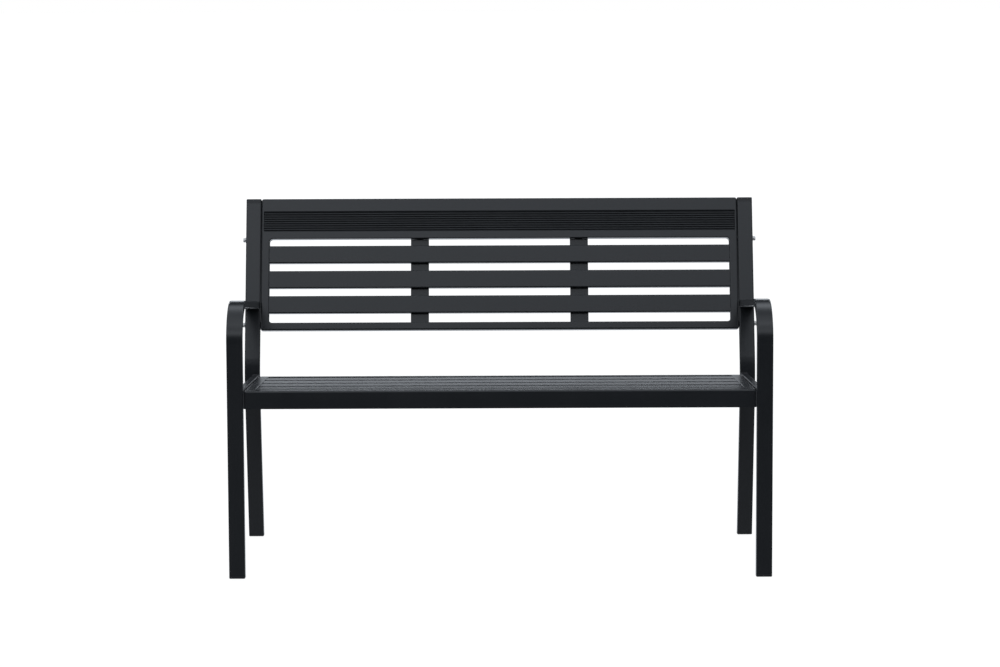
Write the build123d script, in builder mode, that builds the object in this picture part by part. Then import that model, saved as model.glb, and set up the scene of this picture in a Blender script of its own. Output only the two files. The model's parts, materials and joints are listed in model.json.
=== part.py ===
from build123d import *
import os
from math import cos, radians, sin, tan

# Steel garden bench for two people: bent tube side frames, with a pressed seat panel and a pressed
# back panel bolted between them, each panel with its own slats and straps.
# Millimetres. X runs across the bench, the sitter faces -Y and Z is up. The origin lies on the
# ground under the middle of the bench.

os.makedirs("parts", exist_ok=True)

# Overall sizes, with depths counted backwards from the front faces of the front legs
bench_width = 1251.0  # over the two arm tubes
bench_height = 837.8  # to the tops of the rear posts
seat_height = 436.0  # of the seat's plane, in line with the front faces of the front legs
seat_fall = radians(3.2)  # the seat drops towards the back
back_recline = radians(14.7)  # the back leans away from the sitter
rear_leg_rake = radians(9.1)  # the rear legs spread backwards towards the ground

# Side frames
tube_width = 37.0  # across the bench
tube_depth = 18.0  # along the bench's side, and the width of the bearers
tube_corner = 3.0
tube_wall = 1.5
bearer_height = 44.0
arm_height = 646.0  # where the lines of the leg's front and the arm's top would cross
arm_fall = radians(6.9)
arm_bend = 90.0  # outer radius of the bend between leg and arm
post_setback = 422.0  # front face of the rear post at its bend
post_bend_height = 409.5
post_bend = 205.0  # radius of the rear post's centre line at its bend
bearer_rise = 1.6  # top of a bearer above the seat's plane

# Plastic ends of the tubes
cap_height = 11.5
cap_edge = 2.5
foot_height = 6.0
foot_edge = 2.5
plug_length = 14.0
plug_clearance = 0.2

# Pressed panels
sheet = 1.5
panel_corner = 5.0
panel_edge = 4.0  # outside radius of the rounded front edges
window_corner = 8.5
window_edge = 2.0
flange_depth = 20.0  # of the folded rim round a window
back_gap = 1.0  # between a rear post and the back panel
back_panel_height = 328.3
back_panel_depth = 20.0
back_border = 20.0  # panel face beside its window
back_top_member = 100.4
back_bottom_rail = 19.2
seat_gap = 1.5  # between a bearer and the seat panel
seat_setback = 6.0  # seat panel behind the front faces of the legs
seat_skirt = 41.5
seat_border = 23.5
seat_front_member = 46.0
seat_rear_rail = 19.0

# Reeded band across the top of the back panel
reed_pitch = 5.6
reed_grooves = 9
reed_below_top = 32.2
reed_end_margin = 6.0
reed_sheet = 1.0
reed_overlap = 4.0
reed_corner = 2.0
reed_edge = 1.0

# Slats and straps
slat_sheet = 1.2
slat_depth = 15.0
slat_edge = 3.0
slat_recess = 1.0
weld_gap = 0.3  # between the ends of slats or straps and the rim that they are welded to
back_slat_height = 43.4
back_slat_gap = 18.9
back_first_gap = 17.7  # between the top member and the first slat
seat_slat_width = 61.5
seat_slat_gap = 17.5
strap_width = 44.6
strap_thickness = 3.0
strap_edge = 0.6
strap_spacing = 393.0  # between the middle lines of two straps

# Fasteners
bolt_diameter = 6.0
bolt_clearance = 0.3
thread_clearance = 0.05
bolt_tail = 2.5  # bolt that shows past its nut
hexagon = 10.0  # across the flats of heads and nuts
hexagon_sides = 6
head_height = 4.0
head_chamfer = 0.8
nut_height = 5.0
washer_diameter = 13.0
washer_thickness = 1.4
lock_diameter = 10.4
lock_thickness = 1.6
lock_split = 1.0
spacer_diameter = 16.0
back_bolt_below_top = 102.0
back_bolt_above_bottom = 14.6
back_bolt_behind_face = 10.0
seat_bolt_below_plane = 20.0
seat_bolt_from_end = 60.0

overrun = 5.0  # of every cut past what it cuts
quarter_turn = 90.0

# Names of what repeats
side_names = {-1: "left", 1: "right"}
back_slat_names = ("top", "middle", "bottom")
seat_slat_names = ("front", "second", "third", "rear")

# Directions in the side view
back_up = Vector(0, sin(back_recline), cos(back_recline))
back_out = Vector(0, -cos(back_recline), sin(back_recline))
leg_up = Vector(0, -sin(rear_leg_rake), cos(rear_leg_rake))
leg_out = Vector(0, -cos(rear_leg_rake), -sin(rear_leg_rake))
seat_out = Vector(0, sin(seat_fall), cos(seat_fall))

# Places that follow from the sizes
post_rise = (bench_height - post_bend_height) / cos(back_recline)
post_run = post_rise * sin(back_recline)
bench_depth = post_setback + post_run + back_panel_depth * cos(back_recline)
front_y = -bench_depth / 2
inner_x = bench_width / 2 - tube_width
tube_x = bench_width / 2 - tube_width / 2
bearer_x = inner_x + tube_depth / 2
back_width = 2 * (inner_x - back_gap)
back_bottom = post_rise - back_panel_height
back_window_width = back_width - 2 * back_border
back_window_height = back_panel_height - back_top_member - back_bottom_rail
back_window_bottom = back_bottom + back_bottom_rail
reed_height = reed_grooves * reed_pitch
reed_bottom = post_rise - reed_below_top - reed_height
seat_width = 2 * (inner_x - seat_gap)
seat_window_width = seat_width - 2 * seat_border
seat_slat_pitch = seat_slat_width + seat_slat_gap
seat_window_depth = len(seat_slat_names) * seat_slat_pitch + seat_slat_gap
seat_window_front = seat_setback + seat_front_member
seat_depth = seat_front_member + seat_window_depth + seat_rear_rail
post_bend_point = Vector(0, front_y + post_setback, post_bend_height)
back_front = Plane(origin=post_bend_point, x_dir=(1, 0, 0), z_dir=back_out)
seat_top = Plane(origin=(0, front_y, seat_height), x_dir=(1, 0, 0), z_dir=seat_out)


def save(piece, name):
    """Labels a finished piece and writes its file."""
    piece.part.label = name
    export_step(piece.part, f"parts/{name}.step")


def depth_and_height(point):
    """A point as it is written in a plane that faces across the bench."""
    return (point.Y, point.Z)


def edge_on(plane):
    """The plane that shows a panel's section: its length along, the sitter's side up."""
    return Plane(origin=plane.origin, x_dir=plane.y_dir, z_dir=plane.x_dir)


def rounded_tube(width, height, inset=0):
    """Outline of the side frames' tube, drawn in by an inset."""
    RectangleRounded(width - 2 * inset, height - 2 * inset, tube_corner - inset)


def bore(width, height):
    """Takes the tube's hollow out of its outline."""
    inside_corner = tube_corner - tube_wall
    RectangleRounded(width - 2 * tube_wall, height - 2 * tube_wall, inside_corner, mode=Mode.SUBTRACT)


def leg_route():
    """Middle line of front leg and arm, which runs back as far as the middle of the rear post."""
    half = tube_depth / 2
    arm_line = arm_height - half / cos(arm_fall)
    post_line = post_setback + half / cos(back_recline) - post_bend_height * tan(back_recline)
    end_height = (arm_line - post_line * tan(arm_fall)) / (1 + tan(arm_fall) * tan(back_recline))
    end_depth = (arm_line - end_height) / tan(arm_fall)
    foot = (front_y + half, foot_height)
    knee = (front_y + half, arm_line - half * tan(arm_fall))
    end = (front_y + end_depth, end_height)
    FilletPolyline(foot, knee, end, radius=arm_bend - half)


def post_route():
    """Middle line of a rear leg and its back post, from under the level foot to the cap."""
    both_out = back_out + leg_out
    knee = post_bend_point - both_out * (tube_depth / 2 / (1 + back_out.dot(leg_out)))
    foot = knee - leg_up * ((knee.Z - foot_height) / cos(rear_leg_rake) + tube_depth)
    top = post_cap_plane(1).origin
    FilletPolyline(*[depth_and_height(point) for point in (foot, knee, top)], radius=post_bend)


def bent_tube(side, route):
    """Tube of a side frame along its route."""
    with BuildPart() as tube:
        with BuildLine(Plane.YZ.offset(side * tube_x)) as path:
            route()
        with BuildSketch(Plane(origin=path.line @ 0, x_dir=(1, 0, 0), z_dir=path.line % 0)):
            rounded_tube(tube_width, tube_depth)
            bore(tube_width, tube_depth)
        sweep()
    return tube.part


def side_view_cut(route):
    """Takes everything within a tube's side view off the ends of what is welded to it."""
    with BuildPart() as cut:
        with BuildSketch(Plane.YZ):
            with BuildLine():
                route()
            trace(line_width=tube_depth)
        extrude(amount=bench_width / 2 + overrun, both=True)
    return cut.part


def post_cap_plane(side):
    """Square end of a rear post, where its cap begins."""
    end = back_front.from_local_coords((side * tube_x, post_rise - cap_height, -tube_depth / 2))
    return Plane(origin=end, x_dir=(1, 0, 0), z_dir=back_up)


def front_foot_plane(side):
    """Where the middle of a front leg meets the top of its foot."""
    end = (side * tube_x, front_y + tube_depth / 2, foot_height)
    return Plane(origin=end, x_dir=(1, 0, 0), z_dir=(0, 0, 1))


def rear_foot_plane(side):
    """Where the middle of a raked rear leg meets the top of its foot."""
    drop = (post_bend_height - foot_height) * tan(rear_leg_rake) + tube_depth / 2 / cos(rear_leg_rake)
    end = (side * tube_x, front_y + post_setback + drop, foot_height)
    return Plane(origin=end, x_dir=(1, 0, 0), z_dir=leg_up)


def back_bolt_points():
    """Middles of the bolts that hold the back panel, from below."""
    heights = (back_bottom + back_bolt_above_bottom, post_rise - back_bolt_below_top)
    return [back_front.from_local_coords((0, height, -back_bolt_behind_face)) for height in heights]


def seat_bolt_points():
    """Middles of the bolts that hold the seat panel, from the front."""
    places = (seat_setback + seat_bolt_from_end, seat_setback + seat_depth - seat_bolt_from_end)
    return [seat_top.from_local_coords((0, place, -seat_bolt_below_plane)) for place in places]


def bolt_holes(points, start, length):
    """Round bars that cut the bolt holes on both sides of the bench, from a distance out."""
    with BuildPart() as bars:
        for side in side_names:
            with BuildSketch(Plane.YZ.offset(side * start)):
                with Locations(*[depth_and_height(point) for point in points]):
                    Circle(bolt_diameter / 2 + bolt_clearance)
            extrude(amount=side * length)
    return bars.part


def skirt_holes(points, width):
    """Bars for the bolt holes in the two side skirts of a panel."""
    return bolt_holes(points, width / 2 - sheet - overrun, sheet + 2 * overrun)


def tray(plane, width, height, middle, skirt, inset=0):
    """Block with rounded corners and front edges, drawn in on every side by an inset."""
    with BuildPart() as block:
        with BuildSketch(plane.offset(-inset)):
            with Locations(middle):
                RectangleRounded(width - 2 * inset, height - 2 * inset, panel_corner - inset)
        extrude(amount=-skirt)
        front = block.faces().sort_by(Axis(plane.origin, plane.z_dir))[-1]
        fillet(front.edges(), radius=panel_edge - inset)
    return block.part


def pressed_panel(plane, width, height, bottom, skirt, window_width, window_height, window_bottom):
    """Sheet pressed into a tray with a skirt all round and a window with a folded rim."""
    middle = (0, bottom + height / 2)
    window_middle = (0, window_bottom + window_height / 2)
    rim_corner = window_corner + sheet
    with BuildPart() as panel:
        add(tray(plane, width, height, middle, skirt))
        add(tray(plane, width, height, middle, skirt, inset=sheet), mode=Mode.SUBTRACT)
        with BuildSketch(plane):
            with Locations(window_middle):
                RectangleRounded(window_width + 2 * sheet, window_height + 2 * sheet, rim_corner)
        extrude(amount=-flange_depth)
        with BuildSketch(plane):
            with Locations(window_middle):
                RectangleRounded(window_width, window_height, window_corner)
        extrude(amount=-flange_depth, mode=Mode.SUBTRACT)
        face = panel.faces().filter_by(GeomType.PLANE).sort_by(Axis(plane.origin, plane.z_dir))[-1]
        fillet(face.inner_wires().edges(), radius=window_edge)
    return panel.part


def slat(plane, middle, width, length):
    """Slat folded to a shallow channel, open behind, that runs across a window."""
    half = (width - slat_sheet) / 2
    face = -slat_recess - slat_sheet / 2
    back = -slat_recess - slat_depth
    with BuildPart() as channel:
        with BuildSketch(edge_on(plane)):
            with BuildLine():
                FilletPolyline(
                    (middle - half, back),
                    (middle - half, face),
                    (middle + half, face),
                    (middle + half, back),
                    radius=slat_edge - slat_sheet / 2,
                )
            trace(line_width=slat_sheet)
        extrude(amount=length / 2, both=True)
    return channel.part


def strap(plane, across, start, length):
    """Flat bar behind the slats, from one edge of a window to the other."""
    with BuildPart() as bar:
        with BuildSketch(plane.offset(-slat_recess - slat_depth)):
            with Locations((across, start + length / 2)):
                Rectangle(strap_width, length - 2 * weld_gap)
        extrude(amount=-strap_thickness)
        fillet(bar.edges().filter_by(Axis(plane.origin, plane.y_dir)), radius=strap_edge)
    return bar.part


def rings(points, start, outer, thickness):
    """Rings with room for a bolt on both sides of the bench, from a distance out."""
    with BuildPart() as group:
        for side in side_names:
            with BuildSketch(Plane.YZ.offset(side * start)):
                with Locations(*[depth_and_height(point) for point in points]):
                    Circle(outer)
                    Circle(bolt_diameter / 2 + bolt_clearance, mode=Mode.SUBTRACT)
            extrude(amount=side * thickness)
    return group.part


def bolt_head(side, point, start):
    """Hexagonal head of one bolt, its corners turned off on the outside."""
    with BuildPart() as head:
        with BuildSketch(Plane.YZ.offset(side * start)):
            with Locations(depth_and_height(point)):
                Circle(hexagon / 2 + head_chamfer)
        extrude(amount=side * head_height)
        end = head.faces().sort_by(Axis((0, 0, 0), (side, 0, 0)))[-1]
        chamfer(end.edges(), length=head_chamfer)
        with BuildSketch(Plane.YZ.offset(side * start)):
            with Locations(depth_and_height(point)):
                RegularPolygon(hexagon / 2, hexagon_sides, major_radius=False)
        extrude(amount=side * head_height, mode=Mode.INTERSECT)
    return head.part


# Side frames
for side, side_name in side_names.items():
    with BuildPart() as arm_leg:
        add(bent_tube(side, leg_route))
        add(side_view_cut(post_route), mode=Mode.SUBTRACT)
    save(arm_leg, f"{side_name}_arm_leg")

    with BuildPart() as rear_post:
        add(bent_tube(side, post_route))
        split(bisect_by=Plane.XY.offset(foot_height), keep=Keep.TOP)
        add(bolt_holes(back_bolt_points(), inner_x - overrun, tube_width + 2 * overrun), mode=Mode.SUBTRACT)
    save(rear_post, f"{side_name}_rear_post")

    bearer_middle = bearer_rise - bearer_height / 2
    bearer_start = seat_top.from_local_coords((side * bearer_x, tube_depth / 2, bearer_middle))
    with BuildPart() as bearer:
        with BuildSketch(Plane(origin=bearer_start, x_dir=(1, 0, 0), z_dir=seat_top.y_dir)):
            rounded_tube(tube_depth, bearer_height)
            bore(tube_depth, bearer_height)
        extrude(amount=post_setback / cos(seat_fall))
        add(side_view_cut(leg_route), mode=Mode.SUBTRACT)
        add(side_view_cut(post_route), mode=Mode.SUBTRACT)
        add(bolt_holes(seat_bolt_points(), inner_x - overrun, tube_depth + 2 * overrun), mode=Mode.SUBTRACT)
    save(bearer, f"{side_name}_seat_bearer")

# Caps of the rear posts
for side, side_name in side_names.items():
    with BuildPart() as cap:
        with BuildSketch(post_cap_plane(side)):
            rounded_tube(tube_width, tube_depth)
        extrude(amount=cap_height)
        fillet(cap.faces().sort_by(Axis((0, 0, 0), back_up))[-1].edges(), radius=cap_edge)
        with BuildSketch(post_cap_plane(side)):
            rounded_tube(tube_width, tube_depth, inset=tube_wall + plug_clearance)
        extrude(amount=-plug_length)
    save(cap, f"{side_name}_post_cap")

# Feet
for side, side_name in side_names.items():
    for place, end in (("front", front_foot_plane(side)), ("rear", rear_foot_plane(side))):
        with BuildPart() as foot:
            with BuildSketch(end):
                rounded_tube(tube_width, tube_depth)
            extrude(amount=tube_depth, both=True)
            split(bisect_by=Plane.XY, keep=Keep.TOP)
            split(bisect_by=Plane.XY.offset(foot_height), keep=Keep.BOTTOM)
            fillet(foot.faces().sort_by(Axis.Z)[0].edges(), radius=foot_edge)
            with BuildSketch(end.offset(-foot_height / 2)):
                rounded_tube(tube_width, tube_depth, inset=tube_wall + plug_clearance)
            extrude(amount=foot_height / 2 + plug_length)
        save(foot, f"{side_name}_{place}_foot")

# Back panel with the slot for the reeded band
with BuildPart() as back_frame:
    add(
        pressed_panel(
            back_front,
            back_width,
            back_panel_height,
            back_bottom,
            back_panel_depth,
            back_window_width,
            back_window_height,
            back_window_bottom,
        )
    )
    with BuildSketch(back_front):
        with Locations((0, reed_bottom + reed_height / 2)):
            RectangleRounded(back_width - 2 * reed_end_margin, reed_height, reed_corner)
    extrude(amount=-sheet, mode=Mode.SUBTRACT)
    slot_edges = back_frame.edges(Select.LAST).group_by(Axis(post_bend_point, back_out))[-1]
    fillet(slot_edges, radius=reed_edge)
    add(skirt_holes(back_bolt_points(), back_width), mode=Mode.SUBTRACT)
save(back_frame, "back_frame")

# Reeded band: half rounds side by side, its edges lying flat behind the slot
with BuildPart() as reeded_band:
    with BuildSketch(edge_on(back_front)):
        crest = -sheet - reed_sheet / 2
        with BuildLine():
            wave = Line((reed_bottom - reed_overlap, crest), (reed_bottom, crest))
            for _ in range(reed_grooves):
                for turn in (-quarter_turn, 2 * quarter_turn, -quarter_turn):
                    wave = JernArc(start=wave @ 1, tangent=wave % 1, radius=reed_pitch / 4, arc_size=turn)
            Line(wave @ 1, (reed_bottom + reed_height + reed_overlap, crest))
        trace(line_width=reed_sheet)
    extrude(amount=back_width / 2 - panel_edge, both=True)
save(reeded_band, "reeded_band")

# Slats of the back, from above
for number, slat_name in enumerate(back_slat_names):
    window_top = back_window_bottom + back_window_height
    slat_top = window_top - back_first_gap - number * (back_slat_height + back_slat_gap)
    slat_middle = slat_top - back_slat_height / 2
    with BuildPart() as back_slat:
        add(slat(back_front, slat_middle, back_slat_height, back_window_width - 2 * weld_gap))
    save(back_slat, f"back_slat_{slat_name}")

# Slats of the seat, from the front
for number, slat_name in enumerate(seat_slat_names):
    slat_front = seat_window_front + seat_slat_gap + number * seat_slat_pitch
    slat_middle = slat_front + seat_slat_width / 2
    with BuildPart() as seat_slat:
        add(slat(seat_top, slat_middle, seat_slat_width, seat_window_width - 2 * weld_gap))
    save(seat_slat, f"seat_slat_{slat_name}")

# Straps that tie the slats together
for side, side_name in side_names.items():
    with BuildPart() as back_strap:
        add(strap(back_front, side * strap_spacing / 2, back_window_bottom, back_window_height))
    save(back_strap, f"{side_name}_back_strap")

    with BuildPart() as seat_strap:
        add(strap(seat_top, side * strap_spacing / 2, seat_window_front, seat_window_depth))
    save(seat_strap, f"{side_name}_seat_strap")

# Seat panel
with BuildPart() as seat_frame:
    add(
        pressed_panel(
            seat_top,
            seat_width,
            seat_depth,
            seat_setback,
            seat_skirt,
            seat_window_width,
            seat_window_depth,
            seat_window_front,
        )
    )
    add(skirt_holes(seat_bolt_points(), seat_width), mode=Mode.SUBTRACT)
save(seat_frame, "seat_frame")

# Bolts, each with a washer and a split lock washer under its head, a spacer in the gap between
# tube and panel, and a nut inside the panel
for name, points, outside, gap in (
    ("back", back_bolt_points(), bench_width / 2, back_gap),
    ("seat", seat_bolt_points(), inner_x + tube_depth, seat_gap),
):
    nut_outside = inner_x - gap - sheet
    bolt_end = nut_outside - nut_height - bolt_tail
    head_inside = outside + washer_thickness + lock_thickness

    with BuildPart() as bolts:
        for side in side_names:
            with BuildSketch(Plane.YZ.offset(side * bolt_end)):
                with Locations(*[depth_and_height(point) for point in points]):
                    Circle(bolt_diameter / 2)
            extrude(amount=side * (head_inside - bolt_end))
            for point in points:
                add(bolt_head(side, point, head_inside))
    save(bolts, f"{name}_bolts")

    with BuildPart() as washers:
        add(rings(points, outside, washer_diameter / 2, washer_thickness))
    save(washers, f"{name}_washers")

    with BuildPart() as lock_washers:
        add(rings(points, outside + washer_thickness, lock_diameter / 2, lock_thickness))
        with BuildSketch(Plane.YZ):
            for point in points:
                with Locations(depth_and_height(point + Vector(0, 0, lock_diameter / 2))):
                    Rectangle(lock_split, lock_diameter)
        extrude(amount=head_inside + overrun, both=True, mode=Mode.SUBTRACT)
    save(lock_washers, f"{name}_lock_washers")

    with BuildPart() as spacers:
        add(rings(points, inner_x - gap, spacer_diameter / 2, gap))
    save(spacers, f"{name}_spacers")

    with BuildPart() as nuts:
        for side in side_names:
            with BuildSketch(Plane.YZ.offset(side * nut_outside)):
                with Locations(*[depth_and_height(point) for point in points]):
                    RegularPolygon(hexagon / 2, hexagon_sides, major_radius=False)
                    Circle(bolt_diameter / 2 + thread_clearance, mode=Mode.SUBTRACT)
            extrude(amount=-side * nut_height)
    save(nuts, f"{name}_nuts")
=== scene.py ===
import json
import math

import bpy
import numpy as np
from mathutils import Matrix


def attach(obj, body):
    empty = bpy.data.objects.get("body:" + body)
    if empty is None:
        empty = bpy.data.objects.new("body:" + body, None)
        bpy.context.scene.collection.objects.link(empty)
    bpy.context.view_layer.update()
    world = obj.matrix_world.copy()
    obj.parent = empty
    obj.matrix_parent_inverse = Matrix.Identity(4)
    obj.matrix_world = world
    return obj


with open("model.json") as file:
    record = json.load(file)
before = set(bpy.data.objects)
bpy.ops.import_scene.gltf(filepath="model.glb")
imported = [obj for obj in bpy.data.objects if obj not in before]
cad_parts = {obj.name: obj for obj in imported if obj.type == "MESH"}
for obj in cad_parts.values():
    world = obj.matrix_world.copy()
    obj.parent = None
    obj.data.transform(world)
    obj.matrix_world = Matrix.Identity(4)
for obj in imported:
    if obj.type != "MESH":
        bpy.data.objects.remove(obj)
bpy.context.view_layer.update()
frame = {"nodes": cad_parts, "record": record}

# A powder-coated steel garden bench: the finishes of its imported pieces, the weld beads that join
# them and the threads on the ends of its bolts. Metres. The sitter faces -Y, and Z is up.
MM = 0.001

# Lines, corners and sheet thicknesses of the bench that the welds follow
ARM_HEIGHT = 646 * MM  # where the lines of the leg's front and the arm's top would cross
ARM_FALL = math.radians(6.9)
RECLINE = math.radians(14.7)
RAKE = math.radians(9.1)
SEAT_FALL = math.radians(3.2)
POST_SETBACK = 422 * MM
POST_BEND_HEIGHT = 409.5 * MM
POST_BEND = 205 * MM
TUBE_CORNER = 3 * MM
SHEET = 1.5 * MM
SLAT_SHEET = 1.2 * MM

# Directions of the bench's width and depth, and of its two panels
ACROSS = np.array((1.0, 0.0, 0.0))
INWARD = np.array((0.0, 1.0, 0.0))
BACK_ALONG = np.array((0.0, math.sin(RECLINE), math.cos(RECLINE)))
BACK_OUT = np.array((0.0, -math.cos(RECLINE), math.sin(RECLINE)))
SEAT_ALONG = np.array((0.0, math.cos(SEAT_FALL), -math.sin(SEAT_FALL)))
SEAT_OUT = np.array((0.0, math.sin(SEAT_FALL), math.cos(SEAT_FALL)))

# Roughness of the two coats
FRAME_SATIN = 0.20
SEAT_SATIN = 0.25

# Spans and a colour that finishes and lights share
RISING = (0.0, 1.0)
FALLING = (1.0, 0.0)
WHITE = (1.0, 1.0, 1.0, 1.0)

# Camera of the photograph, counted from under the middle of the bench
CAMERA_PLACE = (1.4 * MM, -6276.7 * MM, 1324.1 * MM)
CAMERA_PITCH = math.radians(5.343)
CAMERA_ROLL = math.radians(-0.226)
SENSOR = 36.0
LENS = 95.3
PHOTO_SIZE = (1000, 667)
AXIS_PIXEL = (500.0, 248.2)


# Finishes

class Recipe:
    """A material's node tree, with one call for each kind of node that the finishes use."""

    def __init__(self, name):
        self.material = bpy.data.materials.new(name)
        self.material.use_nodes = True
        self.tree = self.material.node_tree
        self.tree.nodes.clear()
        self.place = self.node("ShaderNodeTexCoord").outputs["Object"]

    def node(self, kind, **settings):
        """A new node with these settings."""
        made = self.tree.nodes.new(kind)
        for key, value in settings.items():
            setattr(made, key, value)
        return made

    def put(self, socket, value):
        """Links a node's output to a socket, or sets the socket to a plain value."""
        if isinstance(value, bpy.types.NodeSocket):
            self.tree.links.new(value, socket)
        else:
            socket.default_value = value

    def stretched(self, shares):
        """The place on the object, stretched along the axes before a pattern reads it."""
        mapping = self.node("ShaderNodeMapping")
        self.put(mapping.inputs["Vector"], self.place)
        mapping.inputs["Scale"].default_value = shares
        return mapping.outputs["Vector"]

    def noise(self, size, detail, place=None):
        """Soft noise with features of a size."""
        made = self.node("ShaderNodeTexNoise")
        self.put(made.inputs["Vector"], place or self.place)
        made.inputs["Scale"].default_value = 1 / size
        made.inputs["Detail"].default_value = detail
        return made.outputs["Fac"]

    def cells(self, size):
        """Distance from the middle of the nearest cell, for grains of a size."""
        made = self.node("ShaderNodeTexVoronoi")
        self.put(made.inputs["Vector"], self.place)
        made.inputs["Scale"].default_value = 1 / size
        return made.outputs["Distance"]

    def span(self, value, source, target):
        """Moves a value from one range to another and holds it there."""
        made = self.node("ShaderNodeMapRange")
        self.put(made.inputs["Value"], value)
        made.inputs["From Min"].default_value, made.inputs["From Max"].default_value = source
        made.inputs["To Min"].default_value, made.inputs["To Max"].default_value = target
        return made.outputs["Result"]

    def blend(self, share, first, second):
        """Colour between two others."""
        made = self.node("ShaderNodeMix", data_type="RGBA")
        self.put(made.inputs["Factor"], share)
        self.put(made.inputs["A"], first)
        self.put(made.inputs["B"], second)
        return made.outputs["Result"]

    def bump(self, height, depth, under=None):
        """Normal bent by a pattern of a real depth, over another normal if there is one."""
        made = self.node("ShaderNodeBump")
        self.put(made.inputs["Height"], height)
        made.inputs["Distance"].default_value = depth
        if under is not None:
            self.put(made.inputs["Normal"], under)
        return made.outputs["Normal"]

    def worn_edges(self, reach, most_share):
        """Wear at an edge, by how far a normal rounded over a reach turns from the surface's own."""
        turn_shares = (0.98, 0.80)
        samples = 4
        rounded = self.node("ShaderNodeBevel", samples=samples)
        rounded.inputs["Radius"].default_value = reach
        surface = self.node("ShaderNodeNewGeometry")
        turned = self.node("ShaderNodeVectorMath", operation="DOT_PRODUCT")
        self.put(turned.inputs[0], rounded.outputs["Normal"])
        self.put(turned.inputs[1], surface.outputs["Normal"])
        return self.span(turned.outputs["Value"], turn_shares, (0.0, most_share))

    def finish(self, **inputs):
        """Ends the recipe in one principled shader with these inputs."""
        shader = self.node("ShaderNodeBsdfPrincipled")
        for name, value in inputs.items():
            self.put(shader.inputs[name.replace("_", " ")], value)
        output = self.node("ShaderNodeOutputMaterial")
        self.put(output.inputs["Surface"], shader.outputs["BSDF"])
        return self.material


def powder_coat(name, satin):
    """Anthracite powder coat with faint clouds and flecks, and edges that are rubbed paler.

    A fine orange peel lies over the sheet's slow waves, and the roughness follows the clouds.
    """
    shade = (0.025, 0.027, 0.030, 1.0)
    paler = (0.029, 0.031, 0.034, 1.0)
    fleck = (0.045, 0.047, 0.051, 1.0)
    rubbed = (0.060, 0.063, 0.068, 1.0)
    cloud_size = 140 * MM
    cloud_detail = 4.0
    cloud_shares = (0.35, 0.65)
    fleck_size = 0.6 * MM
    fleck_detail = 1.0
    fleck_shares = (0.60, 0.80)
    fleck_colour_shares = (0.0, 0.4)
    wear_reach = 1.2 * MM
    wear_share = 0.25
    wave_size = 160 * MM
    wave_detail = 0.0
    wave_shares = (0.35, 1.0, 1.0)
    wave_depth = 0.05 * MM
    peel_size = 1.5 * MM
    peel_detail = 2.0
    peel_depth = 0.0015 * MM
    satin_shares = (0.3, 0.7)
    satin_change = 0.015
    recipe = Recipe(name)
    clouds = recipe.noise(cloud_size, cloud_detail)
    flecks = recipe.noise(fleck_size, fleck_detail)
    peel = recipe.noise(peel_size, peel_detail)
    waves = recipe.noise(wave_size, wave_detail, recipe.stretched(wave_shares))
    clouded = recipe.blend(recipe.span(clouds, cloud_shares, RISING), shade, paler)
    flecked = recipe.blend(recipe.span(flecks, fleck_shares, fleck_colour_shares), clouded, fleck)
    coat = recipe.blend(recipe.worn_edges(wear_reach, wear_share), flecked, rubbed)
    rough = recipe.span(clouds, satin_shares, (satin - satin_change, satin + satin_change))
    peeled = recipe.bump(peel, peel_depth, under=recipe.bump(waves, wave_depth))
    return recipe.finish(Base_Color=coat, Roughness=rough, Normal=peeled)


def moulded_plastic(name):
    """Dark moulded plastic: a fine eroded grain and slight clouds from the flow in the mould."""
    shade = (0.022, 0.023, 0.026, 1.0)
    paler = (0.030, 0.031, 0.034, 1.0)
    cloud_size = 16 * MM
    cloud_detail = 3.0
    cloud_shares = (0.3, 0.7)
    rough_span = (0.32, 0.40)
    grain_size = 0.5 * MM
    grain_depth = 0.006 * MM
    recipe = Recipe(name)
    clouds = recipe.noise(cloud_size, cloud_detail)
    grain = recipe.cells(grain_size)
    base = recipe.blend(clouds, shade, paler)
    rough = recipe.span(clouds, cloud_shares, rough_span)
    return recipe.finish(Base_Color=base, Roughness=rough, Normal=recipe.bump(grain, grain_depth))


def zinc_plate(name):
    """Zinc on the fasteners: grey with a faint warm bloom, and fine marks round the axis of each bolt."""
    grey = (0.52, 0.52, 0.53, 1.0)
    bloom_grey = (0.62, 0.60, 0.57, 1.0)
    bloom_size = 3 * MM
    bloom_detail = 4.0
    bloom_shares = (0.35, 0.65)
    rough_shares = (0.3, 0.7)
    rough_span = (0.28, 0.42)
    mark_size = 1.5 * MM
    mark_detail = 2.0
    mark_shares = (8.0, 1.0, 1.0)
    mark_depth = 0.01 * MM
    recipe = Recipe(name)
    bloom = recipe.noise(bloom_size, bloom_detail)
    marks = recipe.noise(mark_size, mark_detail, recipe.stretched(mark_shares))
    base = recipe.blend(recipe.span(bloom, bloom_shares, RISING), grey, bloom_grey)
    rough = recipe.span(bloom, rough_shares, rough_span)
    marked = recipe.bump(marks, mark_depth)
    return recipe.finish(Base_Color=base, Metallic=1.0, Roughness=rough, Normal=marked)


finishes = {
    "frame_paint": powder_coat("frame_paint", FRAME_SATIN),
    "seat_paint": powder_coat("seat_paint", SEAT_SATIN),
    "end_plastic": moulded_plastic("end_plastic"),
    "fastener_zinc": zinc_plate("fastener_zinc"),
}
worn = {subpart["node"]: subpart["material_slot"] for subpart in frame["record"]["subparts"]}

# The photograph shows no bright metal between posts and panels, so the spacers wear the frame's coat
for spacers in ("back_spacers", "seat_spacers"):
    worn[spacers] = "frame_paint"

for node, finish_name in worn.items():
    for holder in frame["nodes"][node].material_slots:
        holder.material = finishes[finish_name]


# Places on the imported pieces

def node_points(node):
    """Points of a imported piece."""
    mesh = frame["nodes"][node].data
    points = np.empty(3 * len(mesh.vertices))
    mesh.vertices.foreach_get("co", points)
    return points.reshape(-1, 3)


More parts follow.
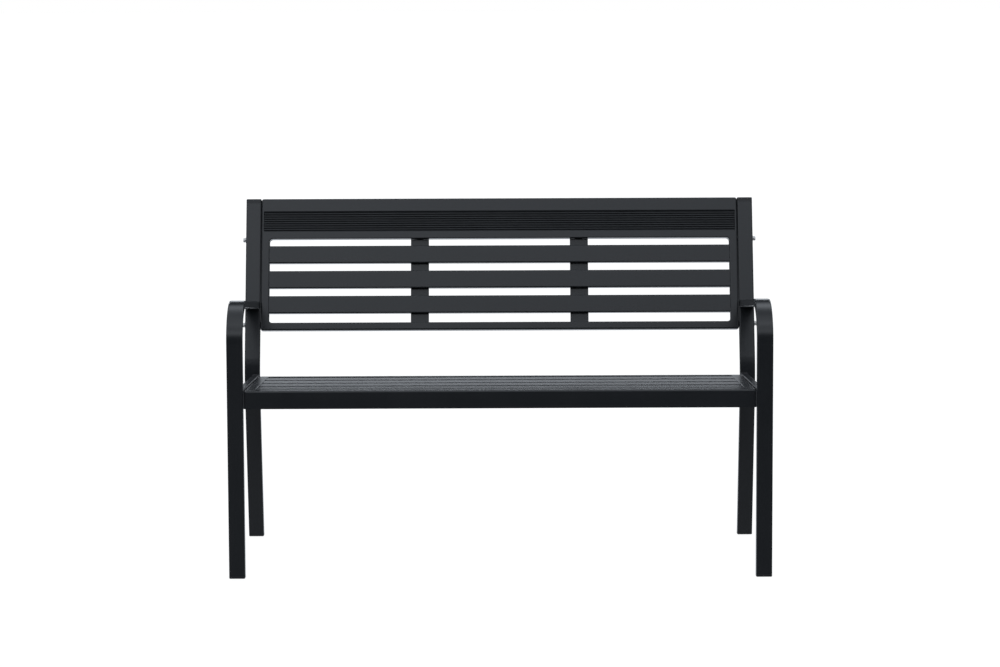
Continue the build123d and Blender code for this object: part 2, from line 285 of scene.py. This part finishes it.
def reach(node, way):
    """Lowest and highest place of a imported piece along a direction."""
    along = node_points(node) @ way
    return along.min(), along.max()


front_y = reach("left_arm_leg", INWARD)[0]
post_left, post_right = reach("right_rear_post", ACROSS)
bearer_left, bearer_right = reach("right_seat_bearer", ACROSS)
bearer_under, bearer_over = reach("right_seat_bearer", SEAT_OUT)
tube_width = post_right - post_left
tube_depth = bearer_right - bearer_left
bearer_height = bearer_over - bearer_under
bearer_middle = (bearer_under + bearer_over) / 2


def corner_drop(across):
    """How far the wide face of a tube has rounded away at a distance from the tube's middle."""
    past = np.clip(np.abs(across) - (tube_width / 2 - TUBE_CORNER), 0, TUBE_CORNER)
    return TUBE_CORNER - np.sqrt(TUBE_CORNER**2 - past**2)


def post_front(height):
    """Depth of a rear post's front face at a height: two straight lines joined by the bend's outer arc."""
    half_turn = (RECLINE + RAKE) / 2
    radius = POST_BEND + tube_depth / 2
    tangent = radius * math.tan(half_turn)
    bend_y = front_y + POST_SETBACK
    upper = bend_y + (height - POST_BEND_HEIGHT) * math.tan(RECLINE)
    lower = bend_y + (POST_BEND_HEIGHT - height) * math.tan(RAKE)
    middle_way = (RAKE - RECLINE) / 2
    middle_y = bend_y + radius / math.cos(half_turn) * math.cos(middle_way)
    middle_z = POST_BEND_HEIGHT + radius / math.cos(half_turn) * math.sin(middle_way)
    arc = middle_y - np.sqrt(np.maximum(radius**2 - (height - middle_z) ** 2, 0))
    above = height > POST_BEND_HEIGHT + tangent * math.cos(RECLINE)
    below = height < POST_BEND_HEIGHT - tangent * math.cos(RAKE)
    return np.where(above, upper, np.where(below, lower, arc))


# Surfaces of welds and threads

def rounded_outline(width, height, corner, count):
    """Points spaced evenly round a rectangle with round corners, and the outward direction at each.

    A point is one of the inner rectangle, (u, v), moved the corner's radius along the direction
    (cos a, sin a). Along the outline's length u and v change on the straight stretches and a on
    the corners, so all three are drawn straight between the same ten knots.
    """
    half_u = width / 2 - corner
    half_v = height / 2 - corner
    arc = math.pi / 2 * corner
    steps = (0, half_u, arc, 2 * half_v, arc, 2 * half_u, arc, 2 * half_v, arc, half_u)
    inner_u = (0, half_u, half_u, half_u, half_u, -half_u, -half_u, -half_u, -half_u, 0)
    inner_v = (-half_v, -half_v, -half_v, half_v, half_v, half_v, half_v, -half_v, -half_v, -half_v)
    quarters = np.array((-1, -1, 0, 0, 1, 1, 2, 2, 3, 3))
    knots = np.cumsum(steps)
    along = knots[-1] * np.arange(count) / count
    turn = np.interp(along, knots, quarters * math.pi / 2)
    out_u, out_v = np.cos(turn), np.sin(turn)
    u = np.interp(along, knots, inner_u) + corner * out_u
    v = np.interp(along, knots, inner_v) + corner * out_v
    return u, v, out_u, out_v


def unit(vectors):
    """Directions of vectors, each of length one."""
    return vectors / np.linalg.norm(vectors, axis=-1, keepdims=True)


def ropes(middles, outs, radii, ripple, closed):
    """Round sections carried along paths, in rings of points shaped (paths, rings, sides, 3).

    With t the path's direction, a the outward direction square to it and b = t x a, the point at
    angle c round a section is middle + r (a cos c + b sin c). The radius r swells once per ripple,
    later at the sides than on the crown, which draws the bowed scales of a weld.
    """
    sides = 12
    bow = 0.8
    swell_share = 0.07
    if closed:
        ahead, behind = np.roll(middles, -1, axis=1), np.roll(middles, 1, axis=1)
    else:
        ahead = np.concatenate([middles[:, 1:], middles[:, -1:]], axis=1)
        behind = np.concatenate([middles[:, :1], middles[:, :-1]], axis=1)
    way = unit(ahead - behind)
    out = unit(outs - way * np.sum(outs * way, axis=-1, keepdims=True))
    aside = np.cross(way, out)
    steps = np.linalg.norm(np.diff(middles, axis=1), axis=-1)
    along = np.concatenate([np.zeros((len(middles), 1)), np.cumsum(steps, axis=1)], axis=1)
    angle = 2 * math.pi * np.arange(sides) / sides
    phase = 2 * math.pi * along[..., None] / ripple + bow * np.cos(angle)
    radius = (radii[..., None] * (1 + swell_share * np.sin(phase)))[..., None]
    section = out[..., None, :] * np.cos(angle)[:, None] + aside[..., None, :] * np.sin(angle)[:, None]
    return middles[..., None, :] + radius * section


def skin(rings, closed):
    """Points and faces of ropes: each ring joined to the next, and open ends drawn to a point."""
    paths, count, sides, _ = rings.shape
    size = count * sides
    points = rings.reshape(paths, size, 3)
    grid = np.arange(size).reshape(count, sides)
    near = grid if closed else grid[:-1]
    far = np.roll(grid, -1, axis=0) if closed else grid[1:]
    quads = np.stack([near, np.roll(near, -1, axis=1), np.roll(far, -1, axis=1), far], axis=-1)
    groups = [quads.reshape(-1, 4)]
    if not closed:
        ends = np.stack([rings[:, 0].mean(axis=1), rings[:, -1].mean(axis=1)], axis=1)
        points = np.concatenate([points, ends], axis=1)
        first, last = np.full(sides, size), np.full(sides, size + 1)
        start_fan = np.stack([first, np.roll(grid[0], -1), grid[0]], axis=-1)
        end_fan = np.stack([last, grid[-1], np.roll(grid[-1], -1)], axis=-1)
        groups.append(np.concatenate([start_fan, end_fan]))
    shifts = np.arange(paths)[:, None, None] * points.shape[1]
    faces = [(group + shifts).reshape(-1, group.shape[1]) for group in groups]
    return points.reshape(-1, 3), faces


def make_piece(name, skins, finish_name):
    """One smooth-shaded piece from several skins, which rides on the bench and wears a finish."""
    points, faces, total = [], [], 0
    for skin_points, skin_faces in skins:
        points.append(skin_points)
        for group in skin_faces:
            faces.extend((group + total).tolist())
        total += len(skin_points)
    mesh = bpy.data.meshes.new(name)
    mesh.from_pydata(np.concatenate(points).tolist(), [], faces)
    mesh.polygons.foreach_set("use_smooth", [True] * len(mesh.polygons))
    mesh.materials.append(finishes[finish_name])
    mesh.update()
    made = bpy.data.objects.new(name, mesh)
    bpy.context.scene.collection.objects.link(made)
    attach(made, "root")


def joint_bead(width, height, place):
    """Bead round a tube's end, where place turns the tube's outline into points on the other tube.

    Place also gives each point's distance from that tube's middle line. The bead is thicker where
    the tube's corner rounds away from the joint, and its middle lies inside the outline by its
    radius less the height by which it stands proud.
    """
    count = 420
    ripple = 1.6 * MM
    least_radius = 1.3 * MM
    growth_share = 0.35
    proud = 0.7 * MM
    u, v, out_u, out_v = rounded_outline(width, height, TUBE_CORNER, count)
    drop = corner_drop(place(u, v)[1])
    radii = least_radius + growth_share * drop
    sink = radii - proud
    middles = place(u - sink * out_u, v - sink * out_v)[0]
    outs = place(u + out_u, v + out_v)[0] - place(u, v)[0]
    return skin(ropes(middles[None], outs[None], radii[None], ripple, closed=True), closed=True)


def stitches(starts, ends, outs):
    """Short straight beads between pairs of points.

    With s the share of a bead's length, the radius at its ends is a share of the full radius and
    grows by the rest times 1 - (2 s - 1) to the fourth, which leaves the ends blunt.
    """
    count = 30
    ripple = 1.4 * MM
    radius = 1.2 * MM
    end_share = 0.3
    bluntness = 4
    share = np.linspace(0, 1, count)
    middles = starts[:, None] + (ends - starts)[:, None] * share[:, None]
    swell = end_share + (1 - end_share) * (1 - (2 * share - 1) ** bluntness)
    radii = np.broadcast_to(radius * swell, middles.shape[:2])
    outs = np.broadcast_to(outs[:, None], middles.shape)
    return skin(ropes(middles, outs, radii, ripple, closed=False), closed=False)


def rail_end_bead(leg, side):
    """Bead down the joint between an end of the seat's front rail and a front leg's side.

    Its middle runs in a straight line halfway between the two faces, as deep behind the rail's
    front as its radius less the height by which it stands proud.
    """
    count = 200
    ripple = 1.8 * MM
    radius = 2.2 * MM
    proud = 0.6 * MM
    below_top = 2.5 * MM
    leg_face = min(abs(end) for end in reach(leg, ACROSS))
    rail_end = reach("seat_frame", ACROSS)[1]
    rail_front = reach("seat_frame", SEAT_ALONG)[0]
    rail_foot, rail_top = reach("seat_frame", SEAT_OUT)
    across = side * (leg_face + rail_end) / 2
    up = np.linspace(rail_top - below_top, rail_foot + radius / 2, count)
    middles = across * ACROSS + (rail_front + radius - proud) * SEAT_ALONG + up[:, None] * SEAT_OUT
    outs = np.broadcast_to(-SEAT_ALONG, middles.shape)
    radii = np.full((1, count), radius)
    return skin(ropes(middles[None], outs[None], radii, ripple, closed=False), closed=False)


def panel_stitches(slats, straps, along_way, out_way):
    """Stitch welds of a panel: slats to straps, and the ends of both to the window's rim.

    A spot is its place across the bench plus its places along the panel and out of it. The beads
    between slats and straps lie along the free edges of the slats' flanges, on the straps' front
    faces. Those at the ends of slats lie behind the slats' faces, and those of straps behind them.
    """
    strap_share = 0.4
    slat_share = 0.6
    strap_spans = [reach(strap, ACROSS) for strap in straps]
    starts, ends, outs = [], [], []

    def spot(across, along, out):
        return across * ACROSS + along * along_way + out * out_way

    def add(start, end, out):
        starts.append(start)
        ends.append(end)
        outs.append(out)

    for slat in slats:
        low, high = reach(slat, along_way)
        back, front = reach(slat, out_way)
        for left, right in strap_spans:
            middle, half = (left + right) / 2, (right - left) / 2 * strap_share
            for edge, outward in ((low, -1), (high, 1)):
                out = out_way + outward * along_way
                add(spot(middle - half, edge, back), spot(middle + half, edge, back), out)
        middle, half = (low + high) / 2, (high - low) / 2 * slat_share
        behind = front - SLAT_SHEET
        for end in reach(slat, ACROSS):
            add(spot(end, middle - half, behind), spot(end, middle + half, behind), -out_way)
    for strap, (left, right) in zip(straps, strap_spans):
        middle, half = (left + right) / 2, (right - left) / 2 * strap_share
        back = reach(strap, out_way)[0]
        for edge in reach(strap, along_way):
            add(spot(middle - half, edge, back), spot(middle + half, edge, back), -out_way)
    return stitches(np.array(starts), np.array(ends), np.array(outs))


def band_stitches():
    """Stitch welds behind the top member, spaced evenly along the reeded band's two flat edges."""
    count = 9
    length = 18 * MM
    left, right = reach("reeded_band", ACROSS)
    band_face = reach("back_frame", BACK_OUT)[1] - SHEET
    middles = np.linspace(left, right, count + 2)[1:-1]
    starts, ends, outs = [], [], []
    for edge, outward in zip(reach("reeded_band", BACK_ALONG), (-1, 1)):
        level = edge * BACK_ALONG + band_face * BACK_OUT
        starts.append(level + (middles - length / 2)[:, None] * ACROSS)
        ends.append(level + (middles + length / 2)[:, None] * ACROSS)
        outs.append(np.broadcast_to(outward * BACK_ALONG - BACK_OUT, (count, 3)))
    return stitches(np.concatenate(starts), np.concatenate(ends), np.concatenate(outs))


def bolt_threads(bolts, nuts):
    """Helical ridges on the ends of bolts past their nuts.

    At the angle 2 pi times the number of turns, the ridge's middle stands a radius out from the
    bolt's axis and has moved a pitch per turn along it, from the bolt's end to inside the nut.
    """
    pitch = 1.0 * MM
    ridge = 0.28 * MM
    count = 120
    close = 0.1 * MM
    bolt_points = node_points(bolts)
    nut_points = node_points(nuts)
    paths, outs = [], []
    for side in (-1, 1):
        shanks = bolt_points[bolt_points[:, 0] * side > 0]
        tail = np.abs(shanks[:, 0]).min()
        rims = shanks[np.abs(shanks[:, 0]) < tail + close]
        nut_end = np.abs(nut_points[nut_points[:, 0] * side > 0][:, 0]).min()
        halfway = rims.mean(axis=0)
        for group in (rims[rims[:, 1] < halfway[1]], rims[rims[:, 1] >= halfway[1]]):
            middle = (group.min(axis=0) + group.max(axis=0)) / 2
            radius = (group[:, 2].max() - group[:, 2].min()) / 2
            run = nut_end - tail + pitch / 2
            angle = 2 * math.pi * np.linspace(0, run / pitch, count)
            out = np.stack([np.zeros(count), np.cos(angle), np.sin(angle)], axis=-1)
            along = side * (tail + ridge + np.linspace(0, run, count))
            axis = along[:, None] * ACROSS + middle * (0, 1, 1)
            paths.append(axis + (radius - ridge / 2) * out)
            outs.append(out)
    radii = np.full((len(paths), count), ridge)
    return skin(ropes(np.array(paths), np.array(outs), radii, pitch, closed=False), closed=False)


def side_welds(side, leg):
    """Beads of one side frame: arm on post, bearer on leg and on post, and the rail's end on the leg."""
    post_x = side * (post_left + post_right) / 2
    bearer_x = side * (bearer_left + bearer_right) / 2

    def arm_on_post(u, v):
        """Outline of the arm on the front face of the rear post."""
        arm_line = ARM_HEIGHT - tube_depth / 2 / math.cos(ARM_FALL)
        run = POST_SETBACK - POST_BEND_HEIGHT * math.tan(RECLINE)
        middle = (arm_line - run * math.tan(ARM_FALL)) / (1 + math.tan(RECLINE) * math.tan(ARM_FALL))
        up = v / math.cos(RECLINE - ARM_FALL)
        drop = corner_drop(u)
        height = middle + up * math.cos(RECLINE) - drop / 2 * math.sin(RECLINE)
        depth = post_front(middle) + up * math.sin(RECLINE) + drop / 2 * math.cos(RECLINE)
        return np.stack([post_x + u, depth, height], axis=-1), u

    def bearer_line(depth, v):
        """Height of a line of the bearer at a depth, v above its middle line."""
        return (bearer_middle + v - depth * math.sin(SEAT_FALL)) / math.cos(SEAT_FALL)

    def bearer_on_leg(u, v):
        """Outline of the bearer on the rear face of the front leg."""
        across = bearer_x + u - post_x
        depth = front_y + tube_depth - corner_drop(across) / 2
        return np.stack([bearer_x + u, depth, bearer_line(depth, v)], axis=-1), across

    def bearer_on_post(u, v):
        """Outline of the bearer on the curved front face of the rear post."""
        across = bearer_x + u - post_x
        height = bearer_line(front_y + POST_SETBACK, v)
        depth = post_front(height) + corner_drop(across) / 2
        return np.stack([bearer_x + u, depth, height], axis=-1), across

    return [
        joint_bead(tube_width, tube_depth, arm_on_post),
        joint_bead(tube_depth, bearer_height, bearer_on_leg),
        joint_bead(tube_depth, bearer_height, bearer_on_post),
        rail_end_bead(leg, side),
    ]


for side, side_name in ((-1, "left"), (1, "right")):
    make_piece(f"{side_name}_frame_welds", side_welds(side, f"{side_name}_arm_leg"), "frame_paint")

back_slats = [f"back_slat_{name}" for name in ("top", "middle", "bottom")]
seat_slats = [f"seat_slat_{name}" for name in ("front", "second", "third", "rear")]
back_straps = ["left_back_strap", "right_back_strap"]
seat_straps = ["left_seat_strap", "right_seat_strap"]
back_stitches = panel_stitches(back_slats, back_straps, BACK_ALONG, BACK_OUT)
seat_stitches = panel_stitches(seat_slats, seat_straps, SEAT_ALONG, SEAT_OUT)
make_piece("back_welds", [back_stitches, band_stitches()], "frame_paint")
make_piece("seat_welds", [seat_stitches], "seat_paint")
make_piece("back_bolt_threads", [bolt_threads("back_bolts", "back_nuts")], "fastener_zinc")
make_piece("seat_bolt_threads", [bolt_threads("seat_bolts", "seat_nuts")], "fastener_zinc")


# Floor, light and camera

def studio_floor():
    """Pale floor that the camera alone sees, so that it throws no light up under the bench."""
    half_width = 300.0
    corner_shares = ((-1, -1), (1, -1), (1, 1), (-1, 1))
    grey = (0.14, 0.14, 0.14, 1.0)
    paler = (0.16, 0.16, 0.16, 1.0)
    cloud_size = 1.5
    cloud_detail = 3.0
    rough = 0.9
    glow = 0.93
    corners = [(half_width * x, half_width * y, 0) for x, y in corner_shares]
    mesh = bpy.data.meshes.new("floor")
    mesh.from_pydata(corners, [], [tuple(range(len(corners)))])
    made = bpy.data.objects.new("floor", mesh)
    bpy.context.scene.collection.objects.link(made)
    recipe = Recipe("studio_floor")
    base = recipe.blend(recipe.noise(cloud_size, cloud_detail), grey, paler)
    pale = recipe.finish(Base_Color=base, Roughness=rough, Emission_Color=WHITE, Emission_Strength=glow)
    mesh.materials.append(pale)
    made.visible_diffuse = False
    made.visible_glossy = False


def studio_light():
    """Room of soft light, by direction: panels ahead of the bench, over it and low behind it.

    Each panel's strength rises in a straight line between two heights and falls again between two
    others, on the sitter's side or behind, and runs smoothly from a left value to a right one. A
    height is the upward share of a direction of length one, and so are the shares of the other two
    axes over which the light turns from left to right and from ahead to behind.
    """
    tint = (0.94, 1.0, 1.08, 1.0)
    side_share = 0.3
    depth_share = 0.15
    low_shares = (-0.50, -0.25, -0.08)
    middle_shares = (0.04, 0.12, 0.25, 0.42, 0.60)
    high_shares = (0.74, 0.76, 0.88, 0.90, 0.94, 1.00)
    world = bpy.data.worlds.new("studio")
    bpy.context.scene.world = world
    world.use_nodes = True
    tree = world.node_tree
    tree.nodes.clear()
    parts = tree.nodes.new("ShaderNodeSeparateXYZ")
    tree.links.new(tree.nodes.new("ShaderNodeTexCoord").outputs["Generated"], parts.inputs[0])

    def ramp(axis, source, target, kind="LINEAR"):
        """A value that runs from one to another as the direction turns along an axis."""
        made = tree.nodes.new("ShaderNodeMapRange")
        made.interpolation_type = kind
        tree.links.new(parts.outputs[axis], made.inputs["Value"])
        made.inputs["From Min"].default_value, made.inputs["From Max"].default_value = source
        made.inputs["To Min"].default_value, made.inputs["To Max"].default_value = target
        return made.outputs["Result"]

    def joined(operation, first, second):
        """Two values multiplied or added."""
        made = tree.nodes.new("ShaderNodeMath")
        made.operation = operation
        tree.links.new(first, made.inputs[0])
        tree.links.new(second, made.inputs[1])
        return made.outputs[0]

    def panel(left, right, rise=None, fall=None, half=None):
        """Strength of one panel, which goes all round the room unless it is kept to one half."""
        light = ramp("X", (-side_share, side_share), (left, right), "SMOOTHSTEP")
        if rise:
            light = joined("MULTIPLY", light, ramp("Z", rise, RISING))
        if fall:
            light = joined("MULTIPLY", light, ramp("Z", fall, FALLING))
        if half:
            light = joined("MULTIPLY", light, ramp("Y", (-depth_share, depth_share), half, "SMOOTHSTEP"))
        return light

    # Towards the rear a panel in the half ahead falls to nothing, and one in the half behind rises from it
    ahead, behind = FALLING, RISING
    pit, ground, sill = low_shares
    skirting, ledge, low, middle, upper = middle_shares
    eave, high, roof, top, crown, zenith = high_shares
    panels = (
        panel(left=1.40, right=0.85, rise=(low, middle), fall=(middle, upper), half=ahead),
        panel(left=0.62, right=0.67, rise=(middle, upper), fall=(upper, high), half=ahead),
        panel(left=0.90, right=1.25, rise=(upper, high), fall=(high, top), half=ahead),
        panel(left=0.85, right=0.60, rise=(high, top), fall=(crown, zenith), half=ahead),
        panel(left=1.16, right=1.80, rise=(eave, roof), fall=(crown, zenith), half=behind),
        panel(left=0.72, right=0.03, rise=(crown, zenith)),
        panel(left=0.00, right=0.50, rise=(upper, high), fall=(high, top), half=behind),
        panel(left=2.05, right=2.00, rise=(ledge, low), fall=(low, middle), half=behind),
        panel(left=0.65, right=0.30, rise=(skirting, ledge), fall=(ledge, low), half=behind),
        panel(left=0.29, right=0.27, fall=(pit, ground), half=ahead),
        panel(left=0.14, right=0.07, rise=(pit, ground), fall=(ground, sill), half=ahead),
        panel(left=0.95, right=0.70, fall=(ground, sill), half=behind),
    )
    total = panels[0]
    for light in panels[1:]:
        total = joined("ADD", total, light)
    room = tree.nodes.new("ShaderNodeBackground")
    room.inputs["Color"].default_value = tint
    tree.links.new(total, room.inputs["Strength"])
    backdrop = tree.nodes.new("ShaderNodeBackground")
    backdrop.inputs["Color"].default_value = WHITE
    seen = tree.nodes.new("ShaderNodeLightPath")
    choice = tree.nodes.new("ShaderNodeMixShader")
    tree.links.new(seen.outputs["Is Camera Ray"], choice.inputs[0])
    tree.links.new(room.outputs[0], choice.inputs[1])
    tree.links.new(backdrop.outputs[0], choice.inputs[2])
    output = tree.nodes.new("ShaderNodeOutputWorld")
    tree.links.new(choice.outputs[0], output.inputs["Surface"])


def photo_camera():
    """Camera at the photograph's place, with its lens, tilt and shift."""
    matrix_rows = 4
    width, height = PHOTO_SIZE
    axis_x, axis_y = AXIS_PIXEL
    lens = bpy.data.cameras.new("camera")
    lens.sensor_width = SENSOR
    lens.lens = LENS
    lens.shift_x = (width / 2 - axis_x) / width
    lens.shift_y = (axis_y - height / 2) / width
    made = bpy.data.objects.new("camera", lens)
    pitch = Matrix.Rotation(math.pi / 2 - CAMERA_PITCH, matrix_rows, "X")
    roll = Matrix.Rotation(CAMERA_ROLL, matrix_rows, "Z")
    made.matrix_world = Matrix.Translation(CAMERA_PLACE) @ pitch @ roll
    bpy.context.scene.collection.objects.link(made)
    bpy.context.scene.camera = made


studio_floor()
studio_light()
photo_camera()
bpy.context.scene.view_settings.view_transform = "Standard"
